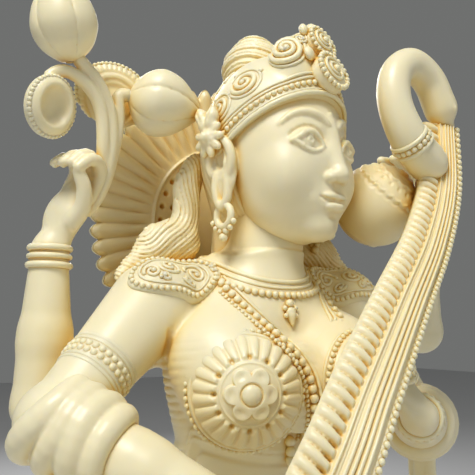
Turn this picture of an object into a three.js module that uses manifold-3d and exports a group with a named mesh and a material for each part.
// A seated four-armed goddess playing a long-necked lute on a lotus throne: an ivory resin statuette, cast in
// separate pieces that are pinned and glued together.
// Millimetres, +Z up, the figure faces -Y. The origin is the centre of the felt pad's underside.
import * as THREE from "three";
import { mergeVertices } from "three/addons/utils/BufferGeometryUtils.js";
import Module from "manifold-3d";

const wasm = await Module();
wasm.setup();

// ---- driving dimensions ----------------------------------------------------------------------------------
const GLUE_GAP = 0.3; // room left for glue between any two pieces
const SMALLEST_STEP = 0.12; // details finer than this are dropped from a piece
const PIN_RADIUS = 1.5; // steel pins that hold the castings together
const DEPTH_SHARE = 0.84; // the throne is an oval: this share of its width
const THRONE_RADIUS = 64;
const PETALS = 16;
const PETAL_LEAN = THREE.MathUtils.degToRad(34);
const HEAD_TURN = THREE.MathUtils.degToRad(15); // towards the figure's left
const HEAD_SIZE = { x: 15.2, y: 17.5, z: 22 };
const HALO_RADIUS = 37;
const HALO_PLEATS = 54;
const GOURD_RADIUS = 10.5;
const FRETS = 11;
const LAYERS = { felt: 1.2, plinth: 19, lowerPetals: 13, upperPetals: 13, pod: 5 };

const v = (x, y, z) => new THREE.Vector3(x, y, z);

// Heights of the throne's layers, each resting on the one below across a glue gap.
const level = {};
let top = 0;
for (const [name, height] of Object.entries(LAYERS)) {
  level[name] = { low: top, high: top + height };
  top += height + GLUE_GAP;
}
const SEAT = level.pod.high;

// Joint centres of the figure.
const neckBase = v(0, 1, 142);
const headCentre = v(4, -3, 173);
const knee = { right: v(-50, -14, SEAT + 11), left: v(50, -14, SEAT + 11) };
const ankle = { right: v(6, -34, SEAT + 7), left: v(-8, -26, SEAT + 6) };
const shoulder = { right: v(-25.5, 3, 137.5), left: v(25.5, 3, 137.5) };
const elbow = { right: v(-48.5, -8, 116.5), left: v(46, -3, 109) };
const wrist = { right: v(-16, -37, 96), left: v(20, -29, 115) };
const fingertips = { right: v(-3, -47, 98), left: v(9, -27, 126) };
const backShoulder = { right: v(-20, 10, 134), left: v(22, 10, 134) };
const backElbow = { right: v(-46, 12, 117), left: v(62, 11, 132) };
const backWrist = { right: v(-45.5, 12, 149.5), left: v(60, 9, 167) };
const backPalm = { right: v(-38.5, 10, 162), left: v(51, 8, 182) };
const backFingertips = { right: v(-41, 6, 173), left: v(33, 5, 189) };
const luteLine = [v(-32, -42, 80), v(-13, -42, 109), v(-3, -39, 122), v(13, -32, 138), v(28, -25, 152),
  v(38, -20, 166), v(42, -17, 182)];
const stickEnd = luteLine.at(-1);

const group = new THREE.Group();
const ivory = { color: 0xefe3bd, roughness: 0.42, metalness: 0 };
const materials = {
  ivory: new THREE.MeshStandardMaterial(ivory),
  felt: new THREE.MeshStandardMaterial({ color: 0x3a2a20, roughness: 0.95, metalness: 0 }),
  steel: new THREE.MeshStandardMaterial({ color: 0xb8b8b8, roughness: 0.35, metalness: 1 }),
};

// ---- solids ----------------------------------------------------------------------------------------------
function solid(geometry) {
  const bare = geometry.index ? geometry.toNonIndexed() : geometry.clone();
  bare.deleteAttribute("normal");
  bare.deleteAttribute("uv");
  const merged = mergeVertices(bare, 1e-4);
  const mesh = new wasm.Mesh({
    numProp: 3,
    vertProperties: merged.attributes.position.array,
    triVerts: new Uint32Array(merged.index.array),
  });
  return new wasm.Manifold(mesh);
}

const joined = (...solids) => solids.reduce((all, one) => all.add(one));
const cut = (body, ...cutters) => cutters.reduce((left, one) => left.subtract(one), body);

// The largest body of a solid, without the crumbs that a cut can leave.
function largest(body) {
  return body.decompose().reduce((best, one) => (one.volume() > best.volume() ? one : best));
}

function piece(name, body, material = materials.ivory) {
  const simple = largest(largest(body).simplify(SMALLEST_STEP));
  const { numProp, numVert, vertProperties, triVerts } = simple.getMesh();
  const position = new Float32Array(numVert * 3);
  for (let i = 0; i < numVert; i++) {
    position.set(vertProperties.subarray(i * numProp, i * numProp + 3), i * 3);
  }
  const geometry = new THREE.BufferGeometry();
  geometry.setAttribute("position", new THREE.BufferAttribute(position, 3));
  geometry.setIndex(new THREE.BufferAttribute(triVerts, 1));
  geometry.computeVertexNormals();
  const mesh = new THREE.Mesh(geometry, material);
  mesh.name = name;
  group.add(mesh);
}

function ball(centre, rx, ry = rx, rz = rx, around = 12) {
  const geometry = new THREE.SphereGeometry(1, around, Math.round(around * 0.6));
  return solid(geometry.rotateX(Math.PI / 2).scale(rx, ry, rz).translate(centre.x, centre.y, centre.z));
}

// A profile of [radius, height] points turned about +Z and squeezed along Y.
function turned(profile, { squeeze = 1, around = 32, at = v(0, 0, 0) } = {}) {
  const points = profile.map(([r, z]) => new THREE.Vector2(r, z));
  const geometry = new THREE.LatheGeometry(points, around).rotateX(Math.PI / 2);
  return solid(geometry.scale(1, squeeze, 1).translate(at.x, at.y, at.z));
}

// A tapered rod with round ends, from a to b.
function limb(a, b, ra, rb, around = 9) {
  const length = a.distanceTo(b);
  const caps = 2;
  const points = [];
  for (let i = 0; i <= caps; i++) {
    const t = (i / caps) * (Math.PI / 2);
    points.push(new THREE.Vector2(ra * Math.sin(t), -ra * Math.cos(t)));
  }
  for (let i = 0; i <= caps; i++) {
    const t = (i / caps) * (Math.PI / 2);
    points.push(new THREE.Vector2(rb * Math.cos(t), length + rb * Math.sin(t)));
  }
  points[0].x = 0;
  points.at(-1).x = 0;
  const turn = new THREE.Quaternion().setFromUnitVectors(v(0, 1, 0), b.clone().sub(a).normalize());
  const geometry = new THREE.LatheGeometry(points, around).applyQuaternion(turn);
  return solid(geometry.translate(a.x, a.y, a.z));
}

// A section of the given half sizes swept along a smooth line through the points.
function swept(points, halfWide, halfThick = halfWide, { sides = 6, steps = points.length * 2 } = {}) {
  const section = new THREE.Shape();
  for (let i = 0; i < sides; i++) {
    const t = (i / sides) * 2 * Math.PI;
    section[i ? "lineTo" : "moveTo"](halfThick * Math.cos(t), halfWide * Math.sin(t));
  }
  const extrudePath = new THREE.CatmullRomCurve3(points);
  return solid(new THREE.ExtrudeGeometry(section, { steps, extrudePath, bevelEnabled: false }));
}

// A ring round an axis: a bangle, an armlet or a collar.
function ring(centre, axis, radius, tube, { around = 14, sides = 5, wide = 1 } = {}) {
  const turn = new THREE.Quaternion().setFromUnitVectors(v(0, 0, 1), axis.clone().normalize());
  const geometry = new THREE.TorusGeometry(radius, tube, sides, around).scale(1, 1, wide);
  return solid(geometry.applyQuaternion(turn).translate(centre.x, centre.y, centre.z));
}

function pin(a, b, radius = PIN_RADIUS, sides = 8) {
  const length = a.distanceTo(b);
  const turn = new THREE.Quaternion().setFromUnitVectors(v(0, 1, 0), b.clone().sub(a).normalize());
  const middle = a.clone().lerp(b, 0.5);
  const geometry = new THREE.CylinderGeometry(radius, radius, length, sides).applyQuaternion(turn);
  return solid(geometry.translate(middle.x, middle.y, middle.z));
}

function slab(low, high) {
  const size = high.clone().sub(low);
  const middle = low.clone().lerp(high, 0.5);
  return solid(new THREE.BoxGeometry(size.x, size.y, size.z).translate(middle.x, middle.y, middle.z));
}

const between = (a, b, share) => a.clone().lerp(b, share);
const mirrored = (p) => v(-p.x, p.y, p.z);

// ---- pins ------------------------------------------------------------------------------------------------
const PINS = {
  throne_pin: [v(0, 6, level.plinth.high - 8), v(0, 6, SEAT + 12)],
  body_pin: [v(0, 4, SEAT + 22), v(0, 2, SEAT + 44)],
  neck_pin: [v(0.5, 0, 146), v(2.5, -1, 164)],
  halo_pin: [v(0, 7, 139), v(0, 22, 139)],
};
const sockets = Object.values(PINS).map(([a, b]) => {
  const reach = b.clone().sub(a).setLength(GLUE_GAP);
  return pin(a.clone().sub(reach), b.clone().add(reach), PIN_RADIUS + GLUE_GAP);
});
const pinned = (body) => cut(body, ...sockets);

// ---- throne ----------------------------------------------------------------------------------------------
function throneLayer({ low, high }, steps) {
  const profile = steps.map(([share, height]) => [THRONE_RADIUS * share, low + (high - low) * height]);
  return turned([[0, low], ...profile, [0, high]], { squeeze: DEPTH_SHARE });
}

// One lotus petal: a rounded blade that narrows to a point and curls outwards as it leaves the core.
function petal(angle, radius, height, lean) {
  const half = (Math.PI / PETALS) * radius * 1.12;
  const geometry = new THREE.SphereGeometry(1, 6, 4).rotateX(Math.PI / 2);
  const spots = geometry.attributes.position;
  for (let i = 0; i < spots.count; i++) {
    const rise = spots.getZ(i);
    const narrow = rise > 0 ? 1 - 0.55 * rise * rise : 1;
    const curl = 2.6 * rise * rise * Math.sign(rise);
    spots.setXYZ(i, 3.4 * spots.getX(i) + curl, half * narrow * spots.getY(i), rise);
  }
  geometry.scale(1, 1, height * 0.56).rotateY(lean).translate(radius, 0, height * 0.5).rotateZ(angle);
  return solid(geometry.scale(1, DEPTH_SHARE, 1));
}

// A ring of petals round a solid core. A ring that hangs is the same ring turned upside down.
function petalRing({ low, high }, coreRadius, lean, hangs) {
  const height = high - low;
  const core = [[0, 0], [coreRadius - 3, 0], [coreRadius, height * 0.5], [coreRadius - 1, height],
    [0, height]];
  const petals = [];
  for (let i = 0; i < PETALS; i++) {
    petals.push(petal(((i + (hangs ? 0.5 : 0)) / PETALS) * 2 * Math.PI, coreRadius + 1, height, lean));
  }
  const crown = joined(turned(core, { squeeze: DEPTH_SHARE, around: 32 }), ...petals);
  const placed = hangs ? crown.mirror([0, 0, 1]).translate([0, 0, high]) : crown.translate([0, 0, low]);
  return pinned(placed.intersect(slab(v(-90, -90, low), v(90, 90, high))));
}

const podSolid = (grow) => turned([[0, level.pod.low], [50, level.pod.low], [52 + grow, level.pod.low + 1.5],
  [52 + grow, SEAT - 1.2], [50.5, SEAT + grow], [0, SEAT + grow]], { squeeze: DEPTH_SHARE });

piece("base_felt", throneLayer(level.felt, [[0.95, 0], [0.95, 1]]), materials.felt);
piece("plinth", pinned(throneLayer(level.plinth, [[0.97, 0], [1, 0.06], [1, 0.34], [0.93, 0.46], [0.88, 0.6],
  [0.93, 0.76], [0.98, 0.84], [0.98, 1]])));
piece("lotus_petals_lower", petalRing(level.lowerPetals, 53, PETAL_LEAN, true));
piece("lotus_petals_upper", petalRing(level.upperPetals, 51, PETAL_LEAN, false));
piece("lotus_pod", pinned(podSolid(0)));

// ---- lower body ------------------------------------------------------------------------------------------
const hipsSolid = (grow) => ball(v(0, 8, SEAT + 14), 25 + grow, 18 + grow, 15 + grow, 14);

const hipJoint = { right: v(-12, 3, SEAT + 15), left: v(12, 3, SEAT + 15) };
const thighSolid = (side, grow) => limb(hipJoint[side], knee[side], 12.5 + grow, 9.8 + grow);
const shinSolid = (side, grow) => limb(knee[side], ankle[side], 9 + grow, 5.5 + grow);
const legSolid = (side, grow) => joined(thighSolid(side, grow), shinSolid(side, grow));

function footSolid(side, grow) {
  const toes = ankle[side].clone().add(side === "right" ? v(17, 1, -1.5) : v(-17, -5, -1.5));
  const heel = ankle[side].clone().add(side === "right" ? v(2, 0, 0) : v(-2, -1, 0));
  return limb(heel, toes, 5 + grow, 3.2 + grow, 8);
}

const seatBlock = podSolid(GLUE_GAP);
const lap = (grow) => joined(hipsSolid(grow), legSolid("right", grow), legSolid("left", grow));
piece("hips", pinned(cut(hipsSolid(0), seatBlock)));
piece("thigh_right", cut(thighSolid("right", 0), hipsSolid(GLUE_GAP), seatBlock));
piece("shin_right", cut(shinSolid("right", 0), hipsSolid(GLUE_GAP), thighSolid("right", GLUE_GAP),
  seatBlock));
const rightLegBlock = legSolid("right", GLUE_GAP);
piece("thigh_left", cut(thighSolid("left", 0), hipsSolid(GLUE_GAP), rightLegBlock, seatBlock));
piece("shin_left", cut(shinSolid("left", 0), hipsSolid(GLUE_GAP), thighSolid("left", GLUE_GAP), rightLegBlock,
  seatBlock));
piece("foot_right", cut(footSolid("right", 0), lap(GLUE_GAP), seatBlock));
piece("foot_left", cut(footSolid("left", 0), lap(GLUE_GAP), footSolid("right", GLUE_GAP), seatBlock));

// The gathered end of the skirt, spread as a fan over the throne's edge.
function pleatFan() {
  const folds = 9;
  const outline = new THREE.Shape();
  outline.moveTo(-7, 0);
  for (let i = 0; i <= folds; i++) {
    outline.lineTo(-17 + (34 * i) / folds, -20 - (i % 2 ? 2 : 0));
  }
  outline.lineTo(7, 0);
  const geometry = new THREE.ExtrudeGeometry(outline, { depth: 3, bevelEnabled: false });
  return solid(geometry.rotateX(Math.PI / 2 - 1.1).translate(-1, -32, SEAT + 5.5));
}
piece("skirt_pleats", cut(pleatFan(), lap(GLUE_GAP), footSolid("right", GLUE_GAP),
  footSolid("left", GLUE_GAP), seatBlock));

// ---- torso -----------------------------------------------------------------------------------------------
const chestDepth = 0.72;
function torsoSolid(grow) {
  const outline = [[21, 74], [17, 84], [15.6, 92], [17.4, 102], [20.6, 112], [23, 120], [24.4, 129],
    [24, 137], [19, 142.5], [10, 146.5]];
  const low = outline[0][1] - grow;
  const high = outline.at(-1)[1] + grow;
  const walls = outline.map(([r, z]) => [r + grow, z]);
  const trunk = turned([[0, low], ...walls, [0, high]], { squeeze: chestDepth, around: 16, at: v(0, 2, 0) });
  const neck = limb(neckBase, v(2, -1, 153), 8.8 + grow, 8.6 + grow, 12);
  return joined(trunk, neck);
}

const bust = { right: v(-12.3, -12.1, 120.8), left: v(12.3, -12.1, 120.8) };
const cupSolid = (side, grow) => ball(bust[side], 11.9 + grow, 12.8 + grow, 11.9 + grow, 14);
const beltAxis = v(0, 0.12, 1);
const beltSolid = (grow) => ring(v(0, 4, 80), beltAxis, 18.6, 3 + grow, { around: 16, wide: 1.1 });

const upperArmSolid = (side, grow) => limb(shoulder[side], elbow[side], 9.2 + grow, 5.8 + grow, 10);
const backArmSolid = (side, grow) => limb(backShoulder[side], backElbow[side], 7.4 + grow, 5.8 + grow, 9);

piece("torso", pinned(cut(torsoSolid(0), lap(GLUE_GAP))));
const trunk = torsoSolid(GLUE_GAP);
const hipsAndTrunk = joined(trunk, lap(GLUE_GAP));
piece("waist_belt", cut(beltSolid(0), hipsAndTrunk));
for (const side of ["right", "left"]) {
  const other = side === "left" ? [cupSolid("right", GLUE_GAP)] : [];
  piece("bodice_cup_" + side, cut(cupSolid(side, 0), trunk, ...other));
}

// ---- head ------------------------------------------------------------------------------------------------
const headFrame = new THREE.Matrix4().makeRotationZ(HEAD_TURN).setPosition(headCentre);
const onHead = (x, y, z) => v(x, y, z).applyMatrix4(headFrame);

function turnedBall(x, y, z, rx, ry, rz, around = 12) {
  const geometry = new THREE.SphereGeometry(1, around, Math.round(around * 0.6)).rotateX(Math.PI / 2);
  return solid(geometry.scale(rx, ry, rz).translate(x, y, z).applyMatrix4(headFrame));
}

function headSolid(grow) {
  const skull = turnedBall(0, 1, 3, HEAD_SIZE.x + grow, HEAD_SIZE.y - 1 + grow, HEAD_SIZE.z - 3.5 + grow, 16);
  const jaw = turnedBall(0, -5, -10, 11.5 + grow, 11 + grow, 12 + grow, 12);
  return joined(skull, jaw);
}

// A nose: a slim pyramid that widens and stands out towards its foot.
function noseSolid(grow) {
  const geometry = new THREE.ConeGeometry(3.4 + grow, 12, 6).rotateX(Math.PI / 2);
  return solid(geometry.rotateX(0.26).translate(0, -16.2, -2.6).applyMatrix4(headFrame));
}

const earSolid = (side, grow) => turnedBall(side * 14.6, 4.5, -5, 2.2 + grow, 4 + grow, 8 + grow, 8);
const ears = (grow) => joined(earSolid(-1, grow), earSolid(1, grow));
const wholeHead = (grow) => joined(headSolid(grow), ears(grow), noseSolid(grow));
piece("head", pinned(cut(wholeHead(0), trunk)));
const headBlock = joined(wholeHead(GLUE_GAP), trunk);

// The crown's rim runs from the hairline down to the tops of the ears, on a plane that leans back.
const RIM_LEAN = THREE.MathUtils.degToRad(34);
const CREST_LEAN = THREE.MathUtils.degToRad(19);
function rimHalfSpace(height) {
  const geometry = new THREE.BoxGeometry(80, 80, 60).translate(0, 0, 30).rotateX(-RIM_LEAN);
  return solid(geometry.translate(0, 0, height).applyMatrix4(headFrame));
}

const crownShell = (grow) => turnedBall(0, 1, 3.2, HEAD_SIZE.x + 2.6 + grow, HEAD_SIZE.y + 2 + grow,
  HEAD_SIZE.z - 0.2 + grow, 18);
// The crest rises over the forehead.
function crestSolid(grow) {
  const outline = new THREE.Shape();
  const reach = 11.5 + grow;
  outline.moveTo(-reach, -4 - grow);
  outline.lineTo(reach, -4 - grow);
  outline.quadraticCurveTo(reach * 0.95, 10, 4.5, 14 + grow);
  outline.lineTo(-4.5, 14 + grow);
  outline.quadraticCurveTo(-reach * 0.95, 10, -reach, -4 - grow);
  const depth = 4.5 + 2 * grow;
  const geometry = new THREE.ExtrudeGeometry(outline, { depth, bevelEnabled: false, curveSegments: 4 });
  geometry.translate(0, 0, -depth / 2).rotateX(Math.PI / 2 - CREST_LEAN).translate(0, -12.4, 16.6);
  return solid(geometry.applyMatrix4(headFrame));
}

const crownSolid = (grow) => joined(crownShell(grow), crestSolid(grow)).intersect(rimHalfSpace(1.2 - grow));
piece("crown", cut(crownSolid(0), headBlock));
const crownBlock = crownSolid(GLUE_GAP);

const bunSolid = (grow) => turnedBall(2.2, 10.3, 25.2, 8.6 + grow, 8.6 + grow, 9.2 + grow, 12);
piece("hair_bun", cut(bunSolid(0), headBlock, crownBlock));

// Two round medallions, one above the other, lie on the face of the crest.
const medallion = (up, radius, grow) => {
  const geometry = new THREE.CylinderGeometry(radius + grow, radius + grow, 3 + 2 * grow, 14);
  geometry.translate(0, -3.4, up).rotateX(-CREST_LEAN).translate(0, -12.4, 16.6);
  return solid(geometry.applyMatrix4(headFrame));
};
const lowerMedallion = (grow) => medallion(2, 5.2, grow);
const upperMedallion = (grow) => medallion(9.8, 4.4, grow);
piece("crown_medallions", cut(joined(lowerMedallion(0), upperMedallion(0)), crownBlock, headBlock));

const hairSolid = (grow) => turnedBall(0, 4.5, 0, HEAD_SIZE.x + 1.4 + grow, HEAD_SIZE.y - 1.2 + grow,
  20 + grow, 14);
const hairFront = slab(v(-40, -40, 0), v(40, 1.5, 400));
piece("back_hair", cut(hairSolid(0), headBlock, crownBlock, bunSolid(GLUE_GAP), hairFront));
const skull = joined(headBlock, crownBlock, hairSolid(GLUE_GAP));

// Locks of hair that fall behind each ear and spread on the shoulder.
const lockLine = [v(-13.5, 9, 168), v(-15, 9, 162), v(-16, 8.5, 157), v(-20, 8.5, 153.5), v(-24, 8.5, 150.5),
  v(-28, 8, 147.5)];
const lockSolid = (side, grow) => {
  const line = side === "right" ? lockLine : lockLine.map((p) => mirrored(p).add(v(2, 0, 0)));
  return swept(line, 4.2 + grow, 3 + grow, { sides: 6, steps: 8 });
};
const shoulders = joined(upperArmSolid("right", GLUE_GAP), upperArmSolid("left", GLUE_GAP),
  backArmSolid("right", GLUE_GAP), backArmSolid("left", GLUE_GAP));
for (const side of ["right", "left"]) {
  piece("hair_lock_" + side, cut(lockSolid(side, 0), skull, shoulders));
}
const locks = joined(lockSolid("right", GLUE_GAP), lockSolid("left", GLUE_GAP));

for (const [side, sign] of [["right", -1], ["left", 1]]) {
  const knob = turnedBall(sign * 18, 6, 1.5, 3.4, 3, 3.4, 10);
  const spray = turnedBall(sign * 19.5, 8, 6.5, 2.2, 2.6, 5.4, 8);
  piece("ear_flower_" + side, cut(joined(knob, spray), skull, locks));
  const ringAt = onHead(sign * 15, 3, -16.5);
  piece("earring_" + side, cut(ring(ringAt, v(1, 0.25, 0), 2.6, 1.2, { around: 10 }), skull, locks));
}

// ---- halo ------------------------------------------------------------------------------------------------
const HALO_AT = v(3, 22.5, 160);
function haloSolid() {
  const outline = new THREE.Shape();
  const points = HALO_PLEATS * 2;
  for (let i = 0; i < points; i++) {
    const angle = (i / points) * 2 * Math.PI;
    const r = i % 2 ? HALO_RADIUS - 1.8 : HALO_RADIUS;
    outline[i ? "lineTo" : "moveTo"](r * Math.cos(angle), r * Math.sin(angle));
  }
  const geometry = new THREE.ExtrudeGeometry(outline, { depth: 3, bevelEnabled: false });
  return solid(geometry.rotateX(Math.PI / 2).translate(HALO_AT.x, HALO_AT.y + 3, HALO_AT.z));
}
piece("halo", pinned(cut(haloSolid(), skull, bunSolid(GLUE_GAP), trunk, shoulders, locks)));

// ---- ornaments on the chest ------------------------------------------------------------------------------
const cups = joined(cupSolid("right", GLUE_GAP), cupSolid("left", GLUE_GAP));
const chokerAxis = v(0, -0.42, 1);
const chokerSolid = (grow) => ring(v(0.2, -1.6, 145.2), chokerAxis, 11.6, 1.9 + grow,
  { around: 16, wide: 1.3 });
const pendantSolid = (grow) => limb(v(0.6, -13.2, 139.6), v(0.6, -15, 134.6), 1.5 + grow, 2.1 + grow, 6);
piece("choker", cut(joined(chokerSolid(0), pendantSolid(0)), trunk, skull, locks));

const chain = [v(-14.5, -2, 144.6), v(-13.6, -8, 140.6), v(-11, -13, 136.4), v(-8.4, -18, 132.4),
  v(-4.4, -21.5, 128), v(-1.6, -23.4, 122), v(-0.6, -22.6, 114), v(0, -18.8, 108)];
const chainLoop = [...chain, ...chain.slice(0, -1).reverse().map(mirrored)];
const chainSolid = (grow) => swept(chainLoop, 1.7 + grow, 1.7 + grow, { sides: 5, steps: 26 });
piece("long_necklace", cut(chainSolid(0), trunk, cups, chokerSolid(GLUE_GAP), locks));

const epauletteSolid = (sign, grow) => ball(v(sign * 22, 0.5, 141.8), 11.5 + grow, 10.5 + grow,
  7.2 + grow, 12);
for (const [side, sign] of [["right", -1], ["left", 1]]) {
  piece("epaulette_" + side, cut(epauletteSolid(sign, 0), trunk, shoulders, locks, chokerSolid(GLUE_GAP),
    chainSolid(GLUE_GAP), cups));
}
const epaulettes = joined(epauletteSolid(-1, GLUE_GAP), epauletteSolid(1, GLUE_GAP));

// ---- lute ------------------------------------------------------------------------------------------------
const stickSolid = (grow) => swept(luteLine, 7 + grow, 2.6 + grow, { sides: 6, steps: 10 });
const resonatorAt = v(-33, -41, SEAT + 25);
const resonatorSolid = (grow) => ball(resonatorAt, 14 + grow, 11 + grow, 14 + grow, 14);
const gourdAt = v(31, -6, 163.5);
const gourdSolid = (grow) => ball(gourdAt, GOURD_RADIUS + grow, GOURD_RADIUS + grow, GOURD_RADIUS + grow, 14);
const lute = (grow) => joined(stickSolid(grow), resonatorSolid(grow), gourdSolid(grow));

piece("lute_stick", cut(stickSolid(0), lap(GLUE_GAP)));
piece("lute_resonator", cut(resonatorSolid(0), stickSolid(GLUE_GAP), lap(GLUE_GAP)));
piece("lute_gourd", cut(gourdSolid(0), stickSolid(GLUE_GAP), skull, shoulders, locks, epaulettes));

// The stick ends in a swan's neck that rises, folds over and looks down.
const swanLine = [v(36, -19, 172), v(29, -20, 177), v(25.4, -19.5, 185), v(26.5, -19, 192.5),
  v(32, -18.5, 196.4), v(38.5, -18, 193.6), v(42, -18, 187.5)];
const swanSolid = (grow) => joined(swept(swanLine, 4 + grow, 3.6 + grow, { sides: 7, steps: 10 }),
  limb(swanLine.at(-1), swanLine.at(-1).clone().add(v(3.4, 0, -5)), 4 + grow, 1.4 + grow, 7));
piece("lute_swan_head", cut(swanSolid(0), stickSolid(GLUE_GAP), gourdSolid(GLUE_GAP), skull));

// A comb of frets on a low rail stands on the stick's outer face.
const stickCurve = new THREE.CatmullRomCurve3(luteLine);
const faceOut = v(-0.35, -0.92, 0.18).normalize();
function fretBoard() {
  const bars = [];
  const foot = [];
  for (let i = 0; i < FRETS; i++) {
    const at = stickCurve.getPoint(0.16 + (0.74 * i) / (FRETS - 1));
    const along = stickCurve.getTangent(0.16 + (0.74 * i) / (FRETS - 1));
    const across = along.clone().cross(faceOut).normalize();
    const centre = at.clone().addScaledVector(across, -4.8).addScaledVector(faceOut, 3);
    foot.push(centre);
    const left = centre.clone().addScaledVector(across, -2.4);
    const right = centre.clone().addScaledVector(across, 2.4);
    bars.push(pin(left, right, 1, 5));
  }
  return joined(swept(foot, 1.5, 0.9, { sides: 4, steps: 8 }), ...bars);
}
const fretsSolid = fretBoard();
piece("lute_frets", cut(fretsSolid, stickSolid(GLUE_GAP), resonatorSolid(GLUE_GAP), swanSolid(GLUE_GAP)));

// ---- arms ------------------------------------------------------------------------------------------------
function handSolid(wristAt, palm, tipsAt, grow) {
  const back = limb(wristAt, palm, 4.2 + grow, 4.6 + grow, 8);
  return joined(back, limb(palm, tipsAt, 4.6 + grow, 2.4 + grow, 8));
}
const forearmSolid = (side, grow) => joined(limb(elbow[side], wrist[side], 6.3 + grow, 4.2 + grow),
  handSolid(wrist[side], between(wrist[side], fingertips[side], 0.4), fingertips[side], grow));
const backForearmSolid = (side, grow) => joined(
  limb(backElbow[side], backWrist[side], 5.8 + grow, 3.9 + grow),
  handSolid(backWrist[side], backPalm[side], backFingertips[side], grow));

const bodyBlock = joined(trunk, cups, lap(GLUE_GAP));
const luteBlock = joined(lute(GLUE_GAP), swanSolid(GLUE_GAP), fretsSolid);

// A rolled shawl that wraps the forearm below the elbow and hangs to the seat.
function shawlSolid(side, grow) {
  const high = between(elbow[side], wrist[side], 0.3);
  const tailTop = between(elbow[side], wrist[side], 0.12);
  const sign = side === "right" ? -1 : 1;
  const tail = [tailTop, tailTop.clone().add(v(sign * 5, 5, -16)), tailTop.clone().add(v(sign * 9, 9, -36)),
    v(tailTop.x + sign * 6, tailTop.y + 8, SEAT + 22)];
  const wrap = limb(between(elbow[side], wrist[side], 0.02), high, 8.2 + grow, 7.6 + grow, 9);
  return joined(wrap, swept(tail, 6 + grow, 2.2 + grow, { sides: 6, steps: 6 }));
}

for (const side of ["right", "left"]) {
  piece("upper_arm_" + side, cut(upperArmSolid(side, 0), trunk, cups));
}
for (const side of ["right", "left"]) {
  const bothArms = joined(upperArmSolid(side, GLUE_GAP), forearmSolid(side, GLUE_GAP));
  piece("forearm_" + side, cut(forearmSolid(side, 0), upperArmSolid(side, GLUE_GAP), luteBlock, bodyBlock));
  piece("back_arm_" + side, cut(joined(backArmSolid(side, 0), backForearmSolid(side, 0)), trunk, bothArms,
    luteBlock, skull, epaulettes));
}
// A ring that a limb wears, at a share of the way from a to b.
const bandOn = (a, b, share, radius, tube, wide) => ring(between(a, b, share), b.clone().sub(a), radius, tube,
  { around: 10, wide });
const armBlock = (side) => joined(upperArmSolid(side, GLUE_GAP), forearmSolid(side, GLUE_GAP),
  backArmSolid(side, GLUE_GAP), backForearmSolid(side, GLUE_GAP));
for (const side of ["right", "left"]) {
  piece("shawl_" + side, cut(shawlSolid(side, 0), armBlock(side), bodyBlock, luteBlock, seatBlock));
  const armlet = bandOn(shoulder[side], elbow[side], 0.62, 7.5, 1.8, 2);
  piece("armlet_" + side, cut(armlet, armBlock(side), bodyBlock, shawlSolid(side, GLUE_GAP), luteBlock));
  const bangles = bandOn(elbow[side], wrist[side], 0.92, 4.8, 1.4, 1.8);
  piece("bangles_" + side, cut(bangles, armBlock(side), luteBlock, shawlSolid(side, GLUE_GAP)));
  const backBangles = bandOn(backElbow[side], backWrist[side], 0.93, 4.5, 1.4, 1.8);
  piece("back_bangles_" + side, cut(backBangles, armBlock(side), luteBlock));
}

// ---- lotus spray in the raised right hand ----------------------------------------------------------------
const grip = backPalm.right;
const topBudAt = v(-46.3, 4, 197.5);
const sideBudAt = v(-23.6, 6, 184);
const bloomAt = v(-31.5, 14, 188.6);
const openFlowerAt = v(-48.5, 5, 178);
const sprayBlock = joined(armBlock("right"), skull);
const budSolid = (at, rx, rz, grow) => ball(at, rx + grow, rx + grow, rz + grow, 12);
const sideBud = (grow) => budSolid(sideBudAt, 7.8, 7.6, grow);
const topBud = (grow) => budSolid(topBudAt, 7, 10.5, grow);
const bloomSolid = (grow) => ball(bloomAt, 9.4 + grow, 3.4 + grow, 7 + grow, 12);
const stems = [
  [grip.clone().add(v(4.5, -3, -3)), v(-35, 7, 170), v(-34, 7.5, 177), v(-36.5, 6.5, 184),
    v(-43.5, 4.5, 189)],
  [v(-34.2, 7.5, 175), v(-31, 8, 180), v(-28, 7, 183.5)],
  [v(-34.2, 7.5, 173), v(-32, 11, 180), v(-32, 13.5, 184)],
  [v(-34.6, 7.3, 172), v(-39, 6, 178.5), v(-45, 5, 179.5)],
];
// A small open flower grows from the stems and is cast in one with them.
const openFlower = (grow) => ball(openFlowerAt, 4.8 + grow, 4.4 + grow, 6.2 + grow, 10);
const stemsSolid = (grow) => joined(...stems.map((line) => swept(line, 1.7 + grow, 1.7 + grow, { sides: 5 })),
  openFlower(grow));
piece("lotus_stems", cut(stemsSolid(0), sprayBlock));
piece("lotus_bud_top", cut(topBud(0), stemsSolid(GLUE_GAP), sprayBlock));
piece("lotus_bud_side", cut(sideBud(0), stemsSolid(GLUE_GAP), sprayBlock));
piece("lotus_bloom", cut(bloomSolid(0), stemsSolid(GLUE_GAP), sprayBlock, sideBud(GLUE_GAP)));

for (const [name, [a, b]] of Object.entries(PINS)) {
  piece(name, pin(a, b), materials.steel);
}

export default group;
